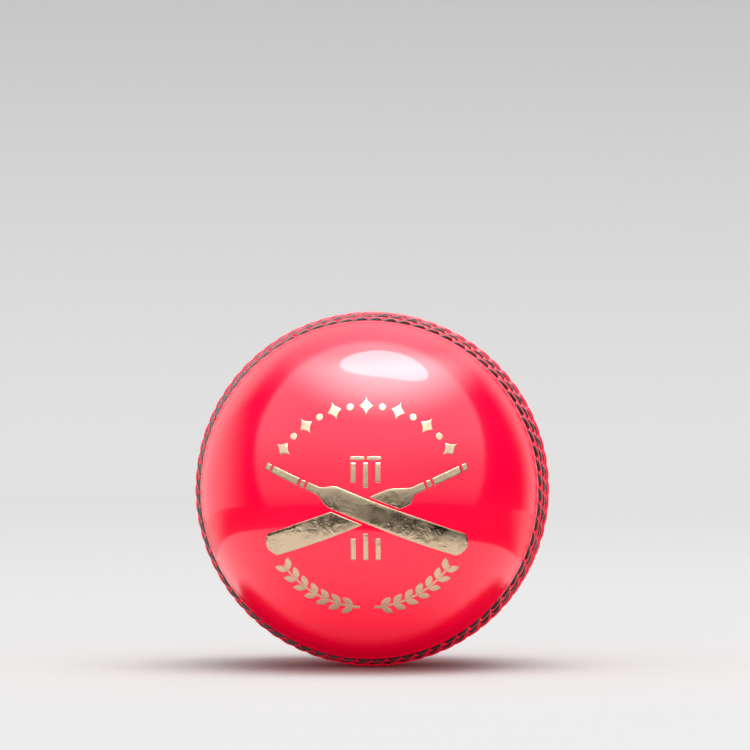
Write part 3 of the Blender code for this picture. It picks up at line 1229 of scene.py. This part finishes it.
def wool_material(winding):
    """Wound wool: each yarn in its own tone, with painted shade at its edges where yarns meet, and fuzz over
    them.
    """
    material, nodes, shader = new_material("wound_wool", Sheen_Weight=0.3, Sheen_Roughness=0.6)
    height, blotch = grain(nodes, pores=5000.0, blotches=120.0, pore_share=0.1)
    own = nodes.blend(nodes.attribute("tone"), tint(winding.yarn, 0.78), tint(winding.yarn))
    shade = nodes.blend(blotch, own, tint(winding.yarn, 0.95))
    # Painted shade: the wool is drawn dark at the edges of each yarn, in the gaps where yarns meet
    yarn_gaps_shaded = nodes.blend(nodes.ramp(nodes.attribute("yarn"), 0.1, 0.8), tint(winding.yarn, 0.22), shade)
    roughness = nodes.ramp(blotch, 0.0, 1.0, 0.85, 0.95)
    dress(nodes, shader, yarn_gaps_shaded, roughness, height, strength=0.7, depth=0.2 * MM)
    return material


# ---------------------------------------------------------------------------------------------------------
# Studio
# ---------------------------------------------------------------------------------------------------------

FLOOR_DROP = SEAM_RADIUS + 0.02 * MM
FLOOR_RADII = (0.1 * MM, 0.1, 0.25)
STAGE_COLUMNS = 96
SWEEP_RINGS = 13
SWEEP_FLAT = 1.3  # radius where the floor starts to curve up into the backdrop
SWEEP_CURVE = 0.6
SWEEP_HEIGHT = 1.6
MIRRORED_EDGE = (0.093, 0.097)  # of the round stretch of floor that the gloss shows round the ball
MIRRORED_LEFT = 0.015
BEHIND_EDGE = (0.12, 0.50)  # Y of the directions where the floor behind starts to show, and shows whole
MIRRORED_SHARE = 0.95  # brightness of the floor as the gloss shows it
MIRRORED_BEHIND = 0.6  # share of that brightness behind the ball
# The shadow under the ball is painted into the floor's colour as reflections show it
SHADOW_REACH = (50 * MM, 25 * MM)  # half width and half depth of the darkest shadow under the ball
SHADOW_BACK = 10 * MM
SHADOW_EDGE = (0.8, 1.25)  # squares of the shares of that reach between which the shadow ends
SOFTBOX_RIGHT = 0.145
SOFTBOX_BACK = 0.04
FILL_SIZE = (2.4, 1.0)
FILL_RADIANCE = 1.5
FILL_PLACE = (0.0, -1.4, 0.25)
FILL_TILT = math.radians(80)
VEIL_CENTRE = (-0.008, 0.19)  # across and up on the mirror ball, whose edge is at 1
VEIL_EDGE = (0.633, 0.673)
VEIL_FOOT = (-0.15, 0.04, 0.0, 0.55)  # between which heights, and from which level to which
VEIL_RISE = (0.05, 0.35, 0.0, 0.60)
GLOW_CENTRE = (0.06, 0.68)
GLOW_REACH = (0.60, 0.31)
GLOW_EDGE = (0.15, 1.0)
GLOW_LEVEL = 5.0
GLOW_FADE = (0.66, 0.80, 1.0, 0.15)
REAR_LEVEL = 0.65
RIM_TOP = (0.50, 0.86, 0.0, REAR_LEVEL)
RIM_LEFT = (-0.88, -0.68, REAR_LEVEL, 0.0)
RIM_REAR = (0.42, 0.70, 0.0, REAR_LEVEL)
HORIZON = (-0.20, -0.15)
BACKDROP_LEVEL = 0.75


def floor_material(studio):
    """A plain pale matte surface, of which glossy reflections show only the part round and behind the ball.

    In reflections the floor's colour is painted light and shade: pale only inside a circle round the ball and
    behind it, and dark in a painted shadow right under the ball, which is an ellipse.
    """
    material, nodes, shader = new_material("plain_pale_floor", Roughness=0.85, Specular_IOR_Level=0.0)
    where = nodes.place()
    x, y, _ = nodes.add("ShaderNodeSeparateXYZ", {0: where}).outputs
    distance = nodes.math("SQRT", nodes.squares(nodes.math("ADD", x, MIRRORED_LEFT), y))
    about = nodes.ramp(distance, *MIRRORED_EDGE, 1.0, 0.0)
    heading = nodes.add("ShaderNodeVectorMath", {0: where}, operation="NORMALIZE").outputs[0]
    _, behind, _ = nodes.add("ShaderNodeSeparateXYZ", {0: heading}).outputs
    # Painted light in reflections: the floor shows pale only round the ball and behind it
    lit = nodes.math("MAXIMUM", about, nodes.ramp(behind, *BEHIND_EDGE, 0.0, MIRRORED_BEHIND))
    across = nodes.math("DIVIDE", x, SHADOW_REACH[0])
    back = nodes.math("DIVIDE", nodes.math("SUBTRACT", y, SHADOW_BACK), SHADOW_REACH[1])
    # Painted shadow in reflections: an ellipse of dark right under the ball
    unshadowed = nodes.ramp(nodes.squares(across, back), *SHADOW_EDGE, 0.0, MIRRORED_SHARE)
    in_gloss = nodes.blend(nodes.math("MULTIPLY", lit, unshadowed), (0.0, 0.0, 0.0, 1.0), tint(studio.floor))
    mirrored = nodes.add("ShaderNodeLightPath").outputs["Is Glossy Ray"]
    seen = nodes.blend(mirrored, tint(studio.floor), in_gloss)
    nodes.tree.links.new(seen, shader.inputs["Base Color"])
    return material


def round_stage(name, radii, heights, material):
    """A stage piece turned about the Z axis from these radii and heights."""
    turns = np.linspace(0, math.tau, STAGE_COLUMNS, endpoint=False)
    rings = [
        np.stack([r * np.cos(turns), r * np.sin(turns), np.full_like(turns, z)], 1)
        for r, z in zip(radii, heights)
    ]
    points, blocks = loft(rings)
    obj = add_mesh(name, points, [face for block in blocks for face in block.tolist()], material)
    return obj


def make_sweep(material):
    """A round floor, and a backdrop that curves up from its edge on every side.

    The backdrop only fills the view: it takes no light away from the ball and shows in no reflection.
    """
    low = -FLOOR_DROP
    round_stage("studio_floor", FLOOR_RADII, [low] * len(FLOOR_RADII), material)
    bend = np.linspace(0, math.pi / 2, SWEEP_RINGS)
    wall = SWEEP_FLAT + SWEEP_CURVE
    radii = np.concatenate([FLOOR_RADII[-1:], SWEEP_FLAT + SWEEP_CURVE * np.sin(bend), [wall]])
    heights = np.concatenate([[0.0], SWEEP_CURVE * (1 - np.cos(bend)), [SWEEP_HEIGHT]]) + low
    backdrop = round_stage("studio_backdrop", radii, heights, material)
    backdrop.visible_glossy = False
    backdrop.visible_diffuse = False
    backdrop.visible_shadow = False


def make_light(name, size, radiance, place, facing):
    """An oval area light of even brightness that the camera doesn't see."""
    lamp = bpy.data.lights.new(name, "AREA")
    lamp.shape = "ELLIPSE"
    lamp.size, lamp.size_y = size
    lamp.energy = radiance * math.pi * (math.pi / 4 * size[0] * size[1])
    obj = put_in_scene(name, lamp)
    obj.location = place
    obj.rotation_euler = facing
    obj.visible_camera = False
    return obj


def make_lights(studio):
    """A softbox overhead, and a large weak fill from the front that leaves no reflection of its own."""
    overhead = (SOFTBOX_RIGHT, SOFTBOX_BACK, studio.softbox_height)
    make_light("softbox_overhead", studio.softbox_size, studio.softbox_radiance, overhead, (0, 0, 0))
    fill = make_light("front_fill", FILL_SIZE, FILL_RADIANCE, FILL_PLACE, (FILL_TILT, 0, 0))
    fill.visible_glossy = False


def make_world(studio):
    """Soft light from all round, worked out from each direction's place on a mirror ball.

    A mirror ball seen from the front shows direction (x, y, z) at (x, z) / sqrt(2 - 2y). There the light is
    a round veil in the middle that brightens upwards, a wide glow in its upper part, dark on both sides of
    it, and a paler rim. The camera sees a plain pale backdrop instead.
    """
    world = bpy.data.worlds.new("soft_studio")
    world.use_nodes = True
    world.node_tree.nodes.clear()
    nodes = Nodes(world.node_tree)
    heading = nodes.add("ShaderNodeTexCoord").outputs["Generated"]
    turning = {"Vector": heading, "Angle": -studio.camera_turn}
    turned = nodes.add("ShaderNodeVectorRotate", turning, rotation_type="Z_AXIS")
    x, y, z = nodes.add("ShaderNodeSeparateXYZ", {0: turned.outputs[0]}).outputs
    away = nodes.math("SQRT", nodes.math("MAXIMUM", nodes.math("MULTIPLY_ADD", y, -2.0, 2.0), 0.0001))
    across = nodes.math("DIVIDE", x, away)
    up = nodes.math("DIVIDE", z, away)

    def distance(centre, reach=(1.0, 1.0)):
        """Distance on the mirror ball from a centre (across, up), as a share of a reach across and up."""
        side = nodes.math("DIVIDE", nodes.math("SUBTRACT", across, centre[0]), reach[0])
        rise = nodes.math("DIVIDE", nodes.math("SUBTRACT", up, centre[1]), reach[1])
        return nodes.math("SQRT", nodes.squares(side, rise))

    rising = nodes.math("ADD", nodes.ramp(up, *VEIL_FOOT), nodes.ramp(up, *VEIL_RISE))
    veil = nodes.math("MULTIPLY", nodes.ramp(distance(VEIL_CENTRE), *VEIL_EDGE, 1.0, 0.0), rising)
    spread = nodes.ramp(distance(GLOW_CENTRE, GLOW_REACH), *GLOW_EDGE, GLOW_LEVEL, 0.0)
    glow = nodes.math("MULTIPLY", spread, nodes.ramp(up, *GLOW_FADE))
    sides = nodes.math("MAXIMUM", nodes.ramp(up, *RIM_TOP), nodes.ramp(across, *RIM_LEFT))
    rim = nodes.math("MAXIMUM", sides, nodes.ramp(y, *RIM_REAR))
    above = nodes.math("ADD", nodes.math("ADD", veil, glow), rim)
    level = nodes.math("MULTIPLY", above, nodes.ramp(z, *HORIZON))
    seen = nodes.add("ShaderNodeLightPath").outputs["Is Camera Ray"]
    shown = nodes.add("ShaderNodeMix", {0: seen, 2: level, 3: BACKDROP_LEVEL}).outputs[0]
    light = nodes.add("ShaderNodeBackground", {"Color": (1.0, 1.0, 1.0, 1.0), "Strength": shown})
    nodes.add("ShaderNodeOutputWorld", {"Surface": light.outputs[0]})
    bpy.context.scene.world = world


CAMERA_LENS = 233.3  # millimetres, as is the width of the sensor
SENSOR_WIDTH = 36.0
CAMERA_CLIP = (0.01, 20.0)
CAMERA_RISE = 23.4 * MM
CAMERA_RIGHT = 0.62 * MM


def make_camera(studio):
    """A level camera in front of the stamped side, a little above the ball's middle and to its right."""
    lens = bpy.data.cameras.new("camera")
    lens.sensor_width = SENSOR_WIDTH
    lens.lens = CAMERA_LENS
    lens.clip_start, lens.clip_end = CAMERA_CLIP
    camera = put_in_scene("camera", lens)
    turn = studio.camera_turn
    right = Vector((math.cos(turn), math.sin(turn), 0.0))
    ahead = Vector((-math.sin(turn), math.cos(turn), 0.0))
    camera.location = -ahead * studio.camera_distance + right * CAMERA_RIGHT + Vector((0, 0, CAMERA_RISE))
    camera.rotation_euler = (math.pi / 2, 0.0, turn)
    bpy.context.scene.camera = camera


# ---------------------------------------------------------------------------------------------------------
# Operators
# ---------------------------------------------------------------------------------------------------------


class BALL_OT_cover(bpy.types.Operator):
    """Make the two leather cups."""

    bl_idname = "ball.cover"
    bl_label = "Leather Cups"

    def execute(self, context):
        cover = context.scene.ball_cover
        material = leather_material(cover)
        for side in SIDES:
            cup = make_cup(side, cover, context.scene.ball_stitches.stitches, material)
            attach(cup, "root")
            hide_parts(f"leather_cup_{side}")
        return {"FINISHED"}


class BALL_OT_stitching(bpy.types.Operator):
    """Make the six rows of stitching."""

    bl_idname = "ball.stitching"
    bl_label = "Stitching"

    def execute(self, context):
        stitching = context.scene.ball_stitches
        material = thread_material(stitching)
        for row in ROWS:
            for side in SIDES:
                thread = make_thread(row, side, stitching, material)
                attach(thread, "root")
                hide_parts(f"{row}_stitch_row_{side}")
        return {"FINISHED"}


class BALL_OT_stamp(bpy.types.Operator):
    """Press the gold foil stamp onto the front cup."""

    bl_idname = "ball.stamp"
    bl_label = "Foil Stamp"

    def execute(self, context):
        stamp = context.scene.ball_stamp
        material = foil_material(stamp)
        whole = bat_strips(BAT_LEAN, False, stamp)
        split = bat_strips(math.pi - BAT_LEAN, True, stamp)
        motifs = {
            "stamp_crossed_bats": whole + split,
            "stamp_wicket": wicket_strips(stamp),
            "stamp_star_arch": star_strips(stamp),
            "stamp_laurel": leaf_strips(stamp),
        }
        for name, strips in motifs.items():
            motif = make_object(name, strips, material)
            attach(motif, "root")
        return {"FINISHED"}


class BALL_OT_core(bpy.types.Operator):
    """Make the cork and rubber core."""

    bl_idname = "ball.core"
    bl_label = "Core"

    def execute(self, context):
        core = context.scene.ball_core
        piece = make_core(core, core_material(core))
        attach(piece, "root")
        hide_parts("cork_rubber_core")
        return {"FINISHED"}


class BALL_OT_windings(bpy.types.Operator):
    """Wind the three layers of wool yarn."""

    bl_idname = "ball.windings"
    bl_label = "Windings"

    def execute(self, context):
        winding = context.scene.ball_windings
        material = wool_material(winding)
        for seed, name in enumerate(("inner", "middle", "outer"), FIRST_WINDING_SEED):
            piece = make_winding(name, winding, seed, material)
            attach(piece, "root")
            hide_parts(f"wool_winding_{name}")
        return {"FINISHED"}


class BALL_OT_cork(bpy.types.Operator):
    """Cut the two layers of cork strips."""

    bl_idname = "ball.cork"
    bl_label = "Cork Strips"

    def execute(self, context):
        cork = context.scene.ball_cork
        material = cork_material(cork)
        for name in STRIP_TILTS:
            for index in range(cork.strips):
                piece = make_strip(name, index, cork, material)
                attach(piece, "root")
                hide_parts(f"cork_strip_{name}_{index + 1}")
        return {"FINISHED"}


class BALL_OT_studio(bpy.types.Operator):
    """Set up the floor, the lights and the camera."""

    bl_idname = "ball.studio"
    bl_label = "Studio"

    def execute(self, context):
        studio = context.scene.ball_studio
        make_sweep(floor_material(studio))
        make_lights(studio)
        make_world(studio)
        make_camera(studio)
        context.scene.view_settings.view_transform = "Standard"
        return {"FINISHED"}


OPERATORS = (
    BALL_OT_cover,
    BALL_OT_stitching,
    BALL_OT_stamp,
    BALL_OT_core,
    BALL_OT_windings,
    BALL_OT_cork,
    BALL_OT_studio,
)


class BALL_PT_maker(bpy.types.Panel):
    """Lists the settings and the steps that make the ball."""

    bl_idname = "BALL_PT_maker"
    bl_label = "Cricket Ball"
    bl_space_type = "VIEW_3D"
    bl_region_type = "UI"
    bl_category = "Cricket Ball"

    def draw(self, context):
        for settings_name, operator in zip(SETTINGS, (op.bl_idname for op in OPERATORS)):
            box = self.layout.box()
            settings = getattr(context.scene, settings_name)
            for field in settings.bl_rna.properties:
                if field.identifier not in ("rna_type", "name"):
                    box.prop(settings, field.identifier)
            box.operator(operator)


CLASSES = (*SETTINGS.values(), *OPERATORS, BALL_PT_maker)


def register():
    for cls in CLASSES:
        bpy.utils.register_class(cls)
    for name, settings in SETTINGS.items():
        setattr(bpy.types.Scene, name, bpy.props.PointerProperty(type=settings))


def unregister():
    for name in SETTINGS:
        delattr(bpy.types.Scene, name)
    for cls in reversed(CLASSES):
        bpy.utils.unregister_class(cls)


def main():
    register()
    bpy.ops.ball.cover()
    bpy.ops.ball.stitching()
    bpy.ops.ball.stamp()
    bpy.ops.ball.core()
    bpy.ops.ball.windings()
    bpy.ops.ball.cork()
    bpy.ops.ball.studio()


if __name__ == "__main__":
    main()
